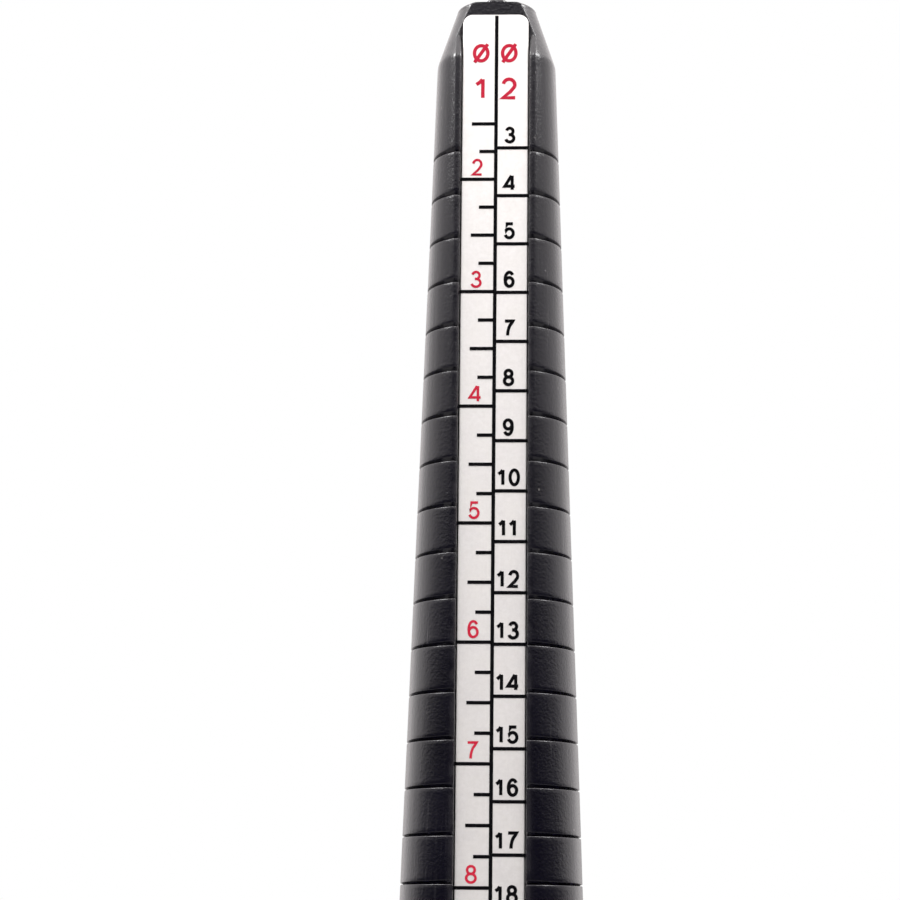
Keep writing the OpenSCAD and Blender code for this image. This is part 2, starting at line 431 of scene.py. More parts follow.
def adhesive():
    """Cream tape, fibrous and matt."""
    material, tree, shader, coords = new_material("adhesive_tape")
    fibre = noise_at(tree, stretched(tree, coords, 3000, 3000, 700), 1.0, 4.0, 0.65)
    base = mix_colour(tree, fibre, TAPE_DARK, TAPE_PALE)
    rough = weighted_sum(tree, 0.55, (fibre, 0.3))
    normal = add(tree, "ShaderNodeBump", Strength=0.3, Distance=0.02 * MM, Height=fibre)
    link_shader(tree, shader, base, rough, normal)
    return material


# ---------------------------------------------------------------- mesh helpers

# Points closer than this are one point
WELD = 0.0001 * MM


def make_piece(name, points, faces, material, replaced=(), sharp=32, wear_and_highlight=None):
    """A finished piece from points and faces: welded, and smooth but for edges sharper than
    sharp degrees. It stands for the replaced CAD nodes, and wear_and_highlight is a number for each
    point: how worn it is and how much painted highlight it gets."""
    data = bpy.data.meshes.new(name)
    data.from_pydata([tuple(p) for p in points], [], faces)
    if wear_and_highlight is not None:
        layer = data.attributes.new("wear_and_highlight", "FLOAT", "POINT")
        layer.data.foreach_set("value", wear_and_highlight)
    work = bmesh.new()
    work.from_mesh(data)
    bmesh.ops.remove_doubles(work, verts=work.verts, dist=WELD)
    bmesh.ops.dissolve_degenerate(work, edges=work.edges, dist=WELD)
    bmesh.ops.recalc_face_normals(work, faces=work.faces)
    work.to_mesh(data)
    work.free()
    data.shade_smooth()
    data.set_sharp_from_angle(angle=math.radians(sharp))
    data.materials.append(material)
    piece = bpy.data.objects.new(name, data)
    bpy.context.scene.collection.objects.link(piece)
    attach(piece, "root")
    if replaced:
        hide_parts(*replaced)
    return piece


def loft_faces(rings, size, closed=False):
    """Quads between neighbouring rings of size points each, with a flat end on an open loft."""
    faces = []
    for k in range(rings if closed else rings - 1):
        low, high = k * size, ((k + 1) % rings) * size
        for i in range(size):
            j = (i + 1) % size
            faces.append((low + i, low + j, high + j, high + i))
    if not closed:
        faces.append(tuple(range(size)))
        faces.append(tuple((rings - 1) * size + i for i in range(size)))
    return faces


def arc(centre, radius, start, end, steps):
    """Points (a, b) of an arc about centre, from start to end degrees."""
    turns = [math.radians(start + (end - start) * i / steps) for i in range(steps + 1)]
    return [(centre[0] + radius * math.cos(a), centre[1] + radius * math.sin(a)) for a in turns]


def corner(z, r, radius, start, end, steps):
    """(height, radius) points of a rounded corner about (z, r), from start to end degrees."""
    return [(z + b, r + a) for a, b in arc((0, 0), radius, start, end, steps)]


def spaced(low, high, count):
    """Values from low to high in count steps, without low itself."""
    return [low + (high - low) * i / count for i in range(1, count + 1)]


# ---------------------------------------------------------------- gauge

# Steps of each stretch, first up the stick and then round it
LOWER_STEPS = 3
LIP_STEPS = 4
EDGE_STEPS = 3
PLAIN_STEPS = 3
UPPER_STEPS = 14
SHOULDER_STEPS = 4
CONE_STEPS = 32
ROUND_STEPS = 6
CIRCLE_STEPS = 24
FILLET_STEPS = 6
FLOOR_STEPS = 4
WALL_STEPS = 3

# How worn each edge looks and how much painted highlight it gets, from 0 to 1
LIP_WEAR_AND_HIGHLIGHT = 0.9
EDGE_WEAR_AND_HIGHLIGHT = 0.6
LOWER_WEAR_AND_HIGHLIGHT = 0.3
SHOULDER_WEAR_AND_HIGHLIGHT = 0.5
CONE_WEAR_AND_HIGHLIGHT = 0.1
NOSE_WEAR_AND_HIGHLIGHT = 0.6
RIM_WEAR_AND_HIGHLIGHT = 0.8
FLAT_WEAR_AND_HIGHLIGHT = 1.0

# How far rings between two grooves stay from them, clear of their draft
PLAIN_MARGIN = 0.45 * MM
LOWER_ROUND = 0.4 * MM
SHOULDER_HALF = 0.3 * MM
# Below this depth a channel has no walls, and is a flat with round edges
LEAST_WALL = 0.04 * MM
FLAT_ROUND = 0.18 * MM
# Points this near to a channel's floor are on it
ON_FLOOR = 0.001 * MM
# The mould's parting line down each side: how proud it stands, and half its width in radians
PARTING_RIDGE = 0.02 * MM
PARTING_HALF = 0.006
# Unevenness of the moulded surface
WOBBLE = 0.012 * MM
WOBBLE_SCALE = 70.0

# Rings across the nose's end face, as parts of its edge
FACE_RINGS = (0.88, 0.74, 0.6)
STUB_FOOT = 0.15 * MM
STUB_ROUND = 0.35 * MM
STUB_TAPER = 0.97
# Wear and painted highlight of the stub's foot and its rounded shoulder
FOOT_WEAR_AND_HIGHLIGHT = 0.2
STUB_WEAR_AND_HIGHLIGHT = 0.9
# The stub's sunk top: depth, radius, and wear and painted highlight of each ring inwards
STUB_TOP = [(0.06 * MM, 0.4 * MM, 0.6), (0.09 * MM, 0.15 * MM, 0.0)]

# The hollow inside: the handle's socket, a narrowing step over it, and the round upper end
SOCKET_R = 7.75 * MM
SOCKET_TOP = GAUGE_LOW.z + 21 * MM
SOCKET_STEP = 1 * MM
HOLLOW_END_R = 1.8 * MM
HOLLOW_END_Z = NOSE_Z - 4 * MM


def groove_rings(z, draft):
    """(height, radius, wear and painted highlight, draft) up through one groove. It is a notch with a
    level lower wall, and the mould's draft opens it wider towards the front and the rear."""
    low = z - GROOVE_MIDDLE - GROOVE_HALF
    high = z - GROOVE_MIDDLE + GROOVE_HALF
    rings = []
    for i in range(LIP_STEPS + 1):
        a = math.radians(90 * i / LIP_STEPS)
        at = low - GROOVE_LIP * (1 - math.sin(a))
        r = gauge_r(at) - GROOVE_LIP * (1 - math.cos(a))
        rings.append((at, r, LIP_WEAR_AND_HIGHLIGHT * math.sin(2 * a), -draft))
    rings.append((low, gauge_r(low) - GROOVE_DEPTH, 0.0, -draft))
    for i in range(EDGE_STEPS + 1):
        a = math.radians(90 * (1 - i / EDGE_STEPS))
        at = high + GROOVE_EDGE * (1 - math.sin(a))
        r = gauge_r(at) - GROOVE_EDGE * (1 - math.cos(a))
        rings.append((at, r, EDGE_WEAR_AND_HIGHLIGHT * math.sin(2 * a), draft))
    return rings


def plain_rings(low, high, steps):
    """Rings between two heights. The first and the last stand clear of a groove's drafted edge."""
    start = low + PLAIN_MARGIN
    heights = [start] + spaced(start, high - PLAIN_MARGIN, steps)
    return [(z, gauge_r(z), 0.0, 0.0) for z in heights]


def lower_rings():
    """(height, radius, wear and painted highlight, draft) of the rounded edge at the gauge's lower
    end.
    """
    end_r = gauge_r(GAUGE_LOW.z)
    rings = [(GAUGE_LOW.z, end_r - LOWER_ROUND, 0.0, 0.0)]
    for part in spaced(0, 1, LOWER_STEPS):
        r = end_r - LOWER_ROUND * (1 - part) ** 2
        rings.append((GAUGE_LOW.z + LOWER_ROUND * part, r, LOWER_WEAR_AND_HIGHLIGHT, 0.0))
    return rings


def nose_rings():
    """(height, radius, wear and painted highlight, draft) from a soft shoulder up the nose's cone, and
    round into its end face."""
    slope = (gauge_r(NOSE_Z) - NOSE_R) / (TIP_Z - NOSE_Z)
    rings = []
    for i in range(SHOULDER_STEPS + 1):
        climbed = 2 * SHOULDER_HALF * i / SHOULDER_STEPS
        z = NOSE_Z - SHOULDER_HALF + climbed
        turn = slope * climbed ** 2 / (4 * SHOULDER_HALF)
        rings.append((z, gauge_r(z) - turn, SHOULDER_WEAR_AND_HIGHLIGHT, 0.0))
    cone_z, cone_r = rings[-1][:2]
    heights = spaced(cone_z, TIP_Z - NOSE_ROUND, CONE_STEPS)
    radii = spaced(cone_r, NOSE_R, CONE_STEPS)
    rings += [(z, r, CONE_WEAR_AND_HIGHLIGHT, 0.0) for z, r in zip(heights, radii)]
    edge = corner(TIP_Z - NOSE_ROUND, NOSE_R - NOSE_ROUND, NOSE_ROUND, 0, 90, ROUND_STEPS)
    rings += [(z, r, NOSE_WEAR_AND_HIGHLIGHT, 0.0) for z, r in edge[1:]]
    return rings


def gauge_rings():
    """(height, radius, wear and painted highlight, draft) up the outside of the gauge, from its lower
    end to its tip.
    A ring with a draft climbs by that much from the stick's side to its front."""
    rings = lower_rings()
    for k in range(GROOVE_COUNT - 1, -1, -1):
        draft = GROOVE_DRAFT * (1 - DRAFT_FADE * k)
        groove = groove_rings(GROOVE_FIRST_Z - k * GROOVE_PITCH, draft)
        rings += plain_rings(rings[-1][0], groove[0][0], PLAIN_STEPS) + groove
    rings += plain_rings(rings[-1][0], NOSE_Z - SHOULDER_HALF, UPPER_STEPS)
    return rings + nose_rings()


def channel_edge(r, floor):
    """(centre x, centre y, radius, start in degrees, wear and painted highlight) of the rounded edge
    where a channel meets the gauge's side. Where the nose is too thin for a wall, the floor is a flat."""
    wall = math.sqrt(max(0.0, r ** 2 - CHANNEL_HALF ** 2)) - floor
    if wall <= LEAST_WALL:
        fillet = min(FLAT_ROUND, 0.5 * (r - floor) + LEAST_WALL)
        x = math.sqrt(max(0.0, (r - fillet) ** 2 - (floor - fillet) ** 2))
        return x, floor - fillet, fillet, 270.0, FLAT_WEAR_AND_HIGHLIGHT
    fillet = min(RIM_ROUND, 0.6 * wall)
    x = CHANNEL_HALF + fillet
    y = math.sqrt((r - fillet) ** 2 - x ** 2)
    start = 180.0
    if floor > y:
        start += math.degrees(math.asin((floor - y) / fillet))
    return x, y, fillet, start, RIM_WEAR_AND_HIGHLIGHT


def section_quarter(r, floor):
    """(x, y, wear and painted highlight) of a quarter of the gauge's section, from a channel's middle
    to the side.
    The channel opens towards -Y."""
    fillet_x, fillet_y, fillet, start, wear_and_highlight = channel_edge(r, floor)
    side_angle = math.degrees(math.atan2(fillet_y, fillet_x))
    edge = arc((fillet_x, -fillet_y), fillet, start, 360 - side_angle, FILLET_STEPS)
    corner_x = min(CHANNEL_HALF, edge[0][0])
    points = [(corner_x * i / FLOOR_STEPS, -floor, 0.0) for i in range(FLOOR_STEPS + 1)]
    points += [(corner_x, y, 0.0) for y in spaced(-floor, edge[0][1], WALL_STEPS)[:-1]]
    points += [(x, y, wear_and_highlight * math.sin(math.pi * (i + 0.5) / (FILLET_STEPS + 1)))
               for i, (x, y) in enumerate(edge)]
    for i in range(1, CIRCLE_STEPS + 1):
        a = math.radians(side_angle * (1 - i / CIRCLE_STEPS))
        points.append((r * math.cos(a), -r * math.sin(a), 0.0))
    return points


def gauge_section(z, r, ring_wear_and_highlight, draft):
    """(point, wear and painted highlight) all round the gauge at one height, from the front channel's
    middle.
    """
    floor = floor_y(z)
    quarter = section_quarter(r, floor)
    side_x, side_y, side_wear_and_highlight = quarter[-1]
    ridge = PARTING_RIDGE if r > NOSE_R else 0.0
    near = quarter[:-1] + [(r * math.cos(PARTING_HALF), -r * math.sin(PARTING_HALF), 0.0)]
    near.append((side_x + ridge, side_y, side_wear_and_highlight))
    half = near + [(x, -y, w) for x, y, w in near[-2:0:-1]] + [(0.0, floor, 0.0)]
    whole = half + [(-x, y, w) for x, y, w in half[-2:0:-1]]
    points = []
    for x, y, w in whole:
        on_floor = abs(abs(y) - floor) < ON_FLOOR
        climb = draft * abs(y) / r
        wobble = WOBBLE * noise.noise(Vector((x, y, z)) * WOBBLE_SCALE)
        out = Vector((x, y, 0)).normalized() * (wobble - FLOOR_SLOPE * climb)
        points.append((Vector((x, y, z + climb)) + out, 0.0 if on_floor else max(w, ring_wear_and_highlight)))
    return points


def round_ring(angles, z, r, wear_and_highlight=0.0):
    """A circle with its points at the given angles."""
    return [(Vector((r * math.cos(a), r * math.sin(a), z)), wear_and_highlight) for a in angles]


def stub_rings(edge):
    """Rings in from the edge of the nose's end face, and up over the moulding stub on it."""
    angles = [math.atan2(point.y, point.x) for point, _ in edge]
    rings = [[(Vector((p.x * part, p.y * part, TIP_Z)), 0.0) for p, _ in edge]
             for part in FACE_RINGS]
    profile = [(TIP_Z, STUB_R + STUB_FOOT, 0.0), (TIP_Z + STUB_FOOT, STUB_R, FOOT_WEAR_AND_HIGHLIGHT)]
    shoulder_r = STUB_R * STUB_TAPER - STUB_ROUND
    shoulder = corner(GAUGE_HIGH.z - STUB_ROUND, shoulder_r, STUB_ROUND, 0, 90, ROUND_STEPS)
    profile += [(z, r, STUB_WEAR_AND_HIGHLIGHT) for z, r in shoulder]
    profile += [(GAUGE_HIGH.z - depth, r, wear_and_highlight) for depth, r, wear_and_highlight in STUB_TOP]
    return rings + [round_ring(angles, z, r, wear_and_highlight) for z, r, wear_and_highlight in profile]


def bore_angles(size):
    """Angles of the bore's points. Under a channel they stand under the points of its floor, and
    past its corners they are evenly spaced, so the end face's quads stay out of the channels."""
    quarter = size // 4
    turn = math.asin(CHANNEL_HALF / SOCKET_R)
    off = [math.asin(CHANNEL_HALF / SOCKET_R * i / FLOOR_STEPS) for i in range(FLOOR_STEPS)]
    off += [turn] + spaced(turn, math.pi / 2, quarter - FLOOR_STEPS)
    half = off + [math.pi - a for a in off[-2::-1]]
    return [a - math.pi / 2 for a in half + [-a for a in half[-2:0:-1]]]


def bore_rings(size):
    """Rings up the hollow inside, with the handle's socket at the gauge's lower end."""
    profile = [(GAUGE_LOW.z, SOCKET_R), (SOCKET_TOP, SOCKET_R)]
    profile += [(SOCKET_TOP + SOCKET_STEP, SOCKET_R - SOCKET_STEP)]
    profile += corner(HOLLOW_END_Z, 0, HOLLOW_END_R, 0, 80, 4)
    angles = bore_angles(size)
    return [round_ring(angles, z, r) for z, r in profile]


def make_gauge(material):
    """The gauge's moulding: grooved outside, both channels, stub on the nose, hollow inside."""
    outside = [gauge_section(z, r, wear_and_highlight, draft) for z, r, wear_and_highlight, draft in gauge_rings()]
    size = len(outside[0])
    rings = bore_rings(size)[::-1] + outside + stub_rings(outside[-1])
    points = [point for ring in rings for point, _ in ring]
    wear_and_highlight = [w for ring in rings for _, w in ring]
    make_piece("gauge_moulding", points, loft_faces(len(rings), size), material,
               ["gauge_body"], 38, wear_and_highlight)


# ---------------------------------------------------------------- strips

STRIP_BEVEL = 0.09 * MM
BEVEL_STEPS = 3
# The first section's distance from the plate's end, where the corners are still open
STRIP_TIP = 0.002 * MM
CORNER_STEPS = 12
PLATE_STEPS = 90
# The plate's face is a little wavy along it
WAVE = 0.012 * MM
WAVE_SCALE = 55.0
WAVE_ROW = 7.3


def strip_section(s):
    """(x, y) points round the plate at the distance s along it, in the channel's frame."""
    inside = min(s - STRIP_LOW, STRIP_HIGH - s)
    half = STRIP_HALF
    if inside < STRIP_CORNER:
        across = math.sqrt(max(0.0, STRIP_CORNER ** 2 - (STRIP_CORNER - inside) ** 2))
        half = STRIP_HALF - STRIP_CORNER + across
    top = -(TAPE_T + STRIP_T + WAVE * noise.noise(Vector((0, WAVE_ROW, s * WAVE_SCALE))))
    edge_x = half - STRIP_BEVEL
    bevel = arc((0, 0), STRIP_BEVEL, 0, 90, BEVEL_STEPS)
    side = [(half, -TAPE_T)] + [(edge_x + a, top + STRIP_BEVEL - b) for a, b in bevel]
    side.append((edge_x - 0.1 * MM, top))
    face = [(half * part, top) for part in (0.5, 0.0, -0.5)]
    return side + face + [(-x, y) for x, y in reversed(side)]


def make_strip(name, place, material, replaced):
    """A thin metal plate with round corners and rolled edges, very slightly wavy."""
    turns = [math.radians(90 * i / CORNER_STEPS) for i in range(1, CORNER_STEPS + 1)]
    ends = [STRIP_TIP] + [STRIP_CORNER * (1 - math.cos(a)) for a in turns]
    stations = [STRIP_LOW + end for end in ends]
    # Evenly spaced sections stand between the corners' own
    stations += spaced(STRIP_LOW, STRIP_HIGH, PLATE_STEPS)[1:-2]
    stations += [STRIP_HIGH - end for end in reversed(ends)]
    sections = [strip_section(s) for s in stations]
    points = [place @ Vector((x, y, s)) for s, section in zip(stations, sections)
              for x, y in section]
    faces = loft_faces(len(sections), len(sections[0]))
    make_piece(name, points, faces, material, [replaced], 40)


# ---------------------------------------------------------------- printed numbers

# Figures of the columns: their size, the step to the next one, and the widths of their strokes
DIGIT_W = 1.16 * MM
DIGIT_H = 1.82 * MM
DIGIT_STEP = 1.28 * MM
ONES_CLOSER = 0.84
BOLD = 0.32 * MM
THIN = 0.25 * MM
# How deep the ink's underside is let into the strip
INK_SINK = 0.02 * MM
# A sharp corner's mitre reaches no further than with this cosine
LEAST_MITRE = 0.45
SAME_POINT = 1e-9

# Headings over a strip's two columns: their middles, and each row's place, width, height and stroke
HEADING_XS = (-1.5 * MM, 1.42 * MM)
RING_MARK = (along(size_z(0.953)), 1.76 * MM, 2.36 * MM, 0.36 * MM)
COLUMN_MARK = (along(size_z(1.278)), 1.66 * MM, 2.4 * MM, 0.37 * MM)

# The right-hand columns: the US size at the first mark, and from each mark to the next
FRONT_RIGHT = (1.7176, 0.4299)
REAR_RIGHT = (1.6856, 0.4101)


def ellipse(cx, cy, rx, ry, start, end, steps):
    """Points of an elliptical arc, from start to end degrees."""
    return [(cx + rx * a, cy + ry * b) for a, b in arc((0, 0), 1.0, start, end, steps)]


# Each figure is drawn by the middle lines of its strokes, in a box one unit wide and high
GLYPHS = {
    "0": [ellipse(0.5, 0.5, 0.5, 0.5, 90, 450, 28)],
    "1": [[(0.66, 0.0), (0.66, 1.0)], [(0.14, 0.72), (0.42, 0.84), (0.62, 0.99)]],
    "2": [ellipse(0.5, 0.7, 0.46, 0.3, 170, -25, 14) + [(0.6, 0.32), (0.02, 0.0), (1.0, 0.0)]],
    "3": [ellipse(0.47, 0.765, 0.4, 0.235, 165, -80, 14) + [(0.34, 0.53)],
          [(0.34, 0.53)] + ellipse(0.47, 0.265, 0.5, 0.265, 82, -165, 16)],
    "4": [[(0.8, 0.0), (0.8, 1.0)], [(0.7, 1.0), (-0.1, 0.25), (1.1, 0.25)]],
    "5": [[(0.92, 1.0), (0.2, 1.0), (0.08, 0.5)] + ellipse(0.47, 0.32, 0.5, 0.32, 140, -160, 18)],
    "6": [ellipse(0.52, 0.5, 0.5, 0.5, 38, 250, 18), ellipse(0.51, 0.31, 0.47, 0.31, 90, 450, 26)],
    "7": [[(0.02, 1.0), (0.98, 1.0)] + ellipse(1.2, 0.0, 0.84, 0.93, 118, 180, 8)],
    "8": [ellipse(0.5, 0.765, 0.41, 0.235, 90, 450, 24), ellipse(0.5, 0.265, 0.5, 0.265, 90, 450, 26)],
    "9": [ellipse(0.48, 0.5, 0.5, 0.5, 218, 430, 18), ellipse(0.49, 0.69, 0.47, 0.31, 90, 450, 26)],
    "ring": [ellipse(0.5, 0.5, 0.5, 0.42, 90, 450, 30), [(0.02, 0.0), (0.98, 1.0)]],
}


def stroke_outline(line, width):
    """Left and right sides of a stroke of one width along a line, with mitred corners, and
    whether the line is a closed loop."""
    loop = math.dist(line[0], line[-1]) < SAME_POINT
    if loop:
        line = line[:-1]
    left, right = [], []
    count = len(line)
    for i, point in enumerate(line):
        here = Vector(point)
        before = Vector(line[i - 1]) if i or loop else None
        after = Vector(line[(i + 1) % count]) if i < count - 1 or loop else None
        into = (here - before).normalized() if before is not None else (after - here).normalized()
        out = (after - here).normalized() if after is not None else into
        middle = (into + out).normalized()
        side = Vector((-middle.y, middle.x))
        reach = width / 2 / max(LEAST_MITRE, side.dot(Vector((-into.y, into.x))))
        left.append(here + side * reach)
        right.append(here - side * reach)
    return left, right, loop


def stroke_solid(line, width, low, high):
    """Points (x, s, depth) and faces of one printed stroke, as a thin closed solid between two
    distances from the channel's floor."""
    left, right, loop = stroke_outline(line, width)
    points = []
    for depth in (low, high):
        for a, b in zip(left, right):
            points += [(a.x, a.y, depth), (b.x, b.y, depth)]
    count = len(left)
    top = 2 * count
    faces = []
    for i in range(count if loop else count - 1):
        a, b = 2 * i, 2 * ((i + 1) % count)
        faces += [(a, a + 1, b + 1, b), (top + a, top + b, top + b + 1, top + a + 1)]
        faces += [(a, b, top + b, top + a), (a + 1, top + a + 1, top + b + 1, b + 1)]
    if not loop:
        last = 2 * (count - 1)
        faces += [(0, top, top + 1, 1), (last, last + 1, top + last + 1, top + last)]
    return points, faces


class Print:
    """Collects printed strokes on one strip, and makes them into one piece."""

    def __init__(self, place):
        self.place = place
        self.points = []
        self.faces = []

    def glyph(self, key, x, s, width, height, stroke):
        """A figure whose box is centred on x, with its lower edge at s along the strip."""
        wide = width - stroke
        high = height - stroke
        face = TAPE_T + STRIP_T
        for k, line in enumerate(GLYPHS[key]):
            scaled = [(x - wide / 2 + u * wide, s + stroke / 2 + v * high) for u, v in line]
            # Each stroke of a figure is a little thicker than the last, so their tops differ
            ink_top = face + INK_T * (0.8 + 0.1 * k)
            points, faces = stroke_solid(scaled, stroke, face - INK_SINK, ink_top)
            start = len(self.points)
            self.points += [self.place @ Vector((px, -depth, ps)) for px, ps, depth in points]
            self.faces += [tuple(start + i for i in corners) for corners in faces]

    def number(self, value, x, s, stroke):
        """A whole number centred on x. Two ones stand closer, as type does."""
        text = str(value)
        step = DIGIT_STEP * (ONES_CLOSER if text == "11" else 1.0)
        for i, key in enumerate(text):
            self.glyph(key, x + (i - (len(text) - 1) / 2) * step, s, DIGIT_W, DIGIT_H, stroke)

    def finish(self, name, material, slot):
        make_piece(name, self.points, self.faces, material, (), 30)


def column_sizes(number, size, step, count):
    """(number, size) of each mark of a column, from its first number and that one's size."""
    return [(number + k, size + step * k) for k in range(count)]


def print_column(name, place, marks, x, gap, stroke, material, slot):
    """Numbers of one column. Each stands a gap above the line of its size."""
    column = Print(place)
    for value, n in marks:
        column.number(value, x, along(size_z(n)) + gap, stroke)
    column.finish(name, material, slot)


def print_headings(place, keys, name, material):
    """Over each column a ring mark and the column's number, in red."""
    heading = Print(place)
    for x, key in zip(HEADING_XS, keys):
        heading.glyph("ring", x, *RING_MARK)
        heading.glyph(key, x, *COLUMN_MARK)
    heading.finish(name, material, "red_ink")


def print_scales(black, red):
    """The headings, and then each strip's left and right columns: US sizes and a finer scale in
    front, inner circumferences in millimetres and another finer scale at the rear."""
    print_headings(FRONT, "12", "front_headings", red)
    print_headings(REAR, "34", "rear_headings", red)
    us_sizes = column_sizes(2, 2, 1, LAST_SIZE - 1)
    print_column("front_left_numbers", FRONT, us_sizes,
                 x=-1.8 * MM, gap=0.39 * MM, stroke=THIN, material=red, slot="red_ink")
    print_column("front_right_numbers", FRONT, column_sizes(3, *FRONT_RIGHT, 31),
                 x=1.55 * MM, gap=0.48 * MM, stroke=BOLD, material=black, slot="black_ink")
    grooves = column_sizes(41, GROOVE_FIRST_SIZE, GROOVE_PITCH / SIZE_PITCH, GROOVE_COUNT)
    print_column("rear_left_numbers", REAR, grooves,
                 x=-1.7 * MM, gap=0.44 * MM, stroke=THIN, material=red, slot="red_ink")
    print_column("rear_right_numbers", REAR, column_sizes(1, *REAR_RIGHT, 33),
                 x=1.65 * MM, gap=0.48 * MM, stroke=BOLD, material=black, slot="black_ink")


# ---------------------------------------------------------------- handle and butt

HANDLE_R = CAP_HIGH.x
COLLAR_R = HANDLE_HIGH.x
COLLAR_TOP = GAUGE_LOW.z
COLLAR_Z = COLLAR_TOP - 4 * MM
FLUTES = 12
FLUTE_R = 3 * MM
FLUTE_DEPTH = 0.9 * MM
FLUTE_AXIS = HANDLE_R - FLUTE_DEPTH + FLUTE_R
# The cutter's radius at the end of a flute's run-out, where it no longer reaches the wall
FLUTE_END_R = FLUTE_AXIS - HANDLE_R - 0.1 * MM
FLUTE_LOW = HANDLE_LOW.z + 5 * MM
FLUTE_HIGH = COLLAR_Z - 5 * MM
FLUTE_RUNOUT = 3 * MM
FLUTE_COLUMNS = 30
# Rings are close together over the run-outs, and go on so for this much of the flute
FLUTE_CLOSE = 0.5 * MM
# A flute's edge starts a little outside the handle's wall, and is rounded over this distance
FLUTE_PROUD = 0.04 * MM
FLUTE_BLEND = 0.25 * MM

HANDLE_BORE = 8 * MM
COLLAR_ROUND = 0.5 * MM
COLLAR_FLARE = 1.6 * MM
FLARE_STEPS = 8
SEAM_ROUND = 0.35 * MM
SPIGOT_R = 7.7 * MM
SPIGOT_BORE = 5.6 * MM
# How worn the collar's and the flutes' edges are, and how much painted highlight they get
COLLAR_WEAR_AND_HIGHLIGHT = 0.6
FLUTE_WEAR_AND_HIGHLIGHT = 0.5


def soft_min(a, b, blend):
    """The smaller of a and b, rounded over a distance of blend where they cross."""
    h = max(0.0, min(1.0, 0.5 + 0.5 * (b - a) / blend))
    return b + (a - b) * h - blend * h * (1 - h)


def fluted(r, angle, z):
    """The handle's radius at an angle and a height, where the flutes cut it."""
    beyond = max(0.0, FLUTE_LOW - z, z - FLUTE_HIGH)
    if beyond >= FLUTE_RUNOUT:
        return r
    cutter = FLUTE_R + (FLUTE_END_R - FLUTE_R) * (beyond / FLUTE_RUNOUT) ** 2
    step = 2 * math.pi / FLUTES
    off = (angle / step) % 1.0 * step - step / 2
    inside = cutter ** 2 - (FLUTE_AXIS * math.sin(off)) ** 2
    if inside <= 0:
        return r
    flute = FLUTE_AXIS * math.cos(off) - math.sqrt(inside)
    return min(r, soft_min(r + FLUTE_PROUD, flute, FLUTE_BLEND))


def handle_profile():
    """(height, radius) up the handle's outside and spigot, and down its bore."""
    low = HANDLE_LOW.z
    profile = [(low, HANDLE_BORE)]
    profile += corner(low + SEAM_ROUND, HANDLE_R - SEAM_ROUND, SEAM_ROUND, -90, 0, 4)
    stretches = [
        (FLUTE_LOW - FLUTE_RUNOUT, 3), (FLUTE_LOW + FLUTE_CLOSE, 14),
        (FLUTE_HIGH - FLUTE_CLOSE, 16), (FLUTE_HIGH + FLUTE_RUNOUT, 14),
    ]
    start = low + 0.4 * MM
    for end, steps in stretches:
        profile += [(z, HANDLE_R) for z in spaced(start, end, steps)]
        start = end
    rise = COLLAR_R - HANDLE_R - COLLAR_ROUND
    for i in range(FLARE_STEPS):
        part = i / FLARE_STEPS
        profile.append((COLLAR_Z - COLLAR_FLARE * (1 - part), HANDLE_R + rise * part ** 2))
    edge_r = COLLAR_R - COLLAR_ROUND
    low_edge, high_edge = COLLAR_Z + COLLAR_ROUND, COLLAR_TOP - COLLAR_ROUND
    profile += corner(low_edge, edge_r, COLLAR_ROUND, -90, 0, 5)
    profile += [(z, COLLAR_R) for z in spaced(low_edge, high_edge, 3)]
    profile += corner(high_edge, edge_r, COLLAR_ROUND, 0, 90, 5)[1:]
    profile += [(COLLAR_TOP, SPIGOT_R), (HANDLE_HIGH.z - 1 * MM, SPIGOT_R)]
    profile += [(HANDLE_HIGH.z, SPIGOT_R - 0.6 * MM), (HANDLE_HIGH.z, SPIGOT_BORE)]
    return profile + [(COLLAR_Z, SPIGOT_BORE), (COLLAR_Z - 3 * MM, HANDLE_BORE)]


def handle_wear(r, cut):
    """The collar's rounded edges are rubbed and get a painted highlight, and so do the flutes' edges,
    where little is cut.
    """
    if COLLAR_R - 0.4 * MM < r < COLLAR_R - 0.01 * MM:
        return COLLAR_WEAR_AND_HIGHLIGHT
    return FLUTE_WEAR_AND_HIGHLIGHT if 0.01 * MM < cut < 0.12 * MM else 0.0


def make_handle(material):
    """Fluted tube with a rounded collar, and a spigot up inside the gauge."""
    profile = handle_profile()
    columns = FLUTES * FLUTE_COLUMNS
    points, wear_and_highlight = [], []
    for z, r in profile:
        for i in range(columns):
            a = 2 * math.pi * i / columns
            cut_r = r if r < HANDLE_R - 0.01 * MM else fluted(r, a, z)
            points.append((cut_r * math.cos(a), cut_r * math.sin(a), z))
            wear_and_highlight.append(handle_wear(r, r - cut_r))
    faces = loft_faces(len(profile), columns, closed=True)
    make_piece("handle_moulding", points, faces, material,
               ["handle_grip"], 40, wear_and_highlight)


# Radius at which the butt's closed ends stop, so that they are faces and not points
END_R = 0.05 * MM
# The shallow dish under the butt: depth and radius of each ring outwards
DISH = [(0.25 * MM, END_R), (0.25 * MM, 7.2 * MM), (0.12 * MM, 7.6 * MM), (0.0, 8 * MM)]
BUTT_ROUND = 1.2 * MM
PLUG_R = 7.95 * MM
CAP_BORE = 6 * MM
CAP_FLOOR = CAP_LOW.z + 13 * MM
CAP_COLUMNS = 240

# The hanging hole and its rounded lips, which end HOLE_LIP_TURN degrees round, a little below
# the wall. Past them the cutter flares wider and further out, and then goes on beyond the wall.
HOLE_Z = CAP_LOW.z + 8 * MM
HOLE_R = 3 * MM
HOLE_LIP = 0.5 * MM
HOLE_LIP_TURN = 70
HOLE_SINK = 0.004 * MM
HOLE_FLARE = 0.94 * MM
HOLE_RISE = 0.34 * MM
HOLE_BEYOND = 3 * MM
HOLE_COLUMNS = 96
HOLE_SHARP = 12


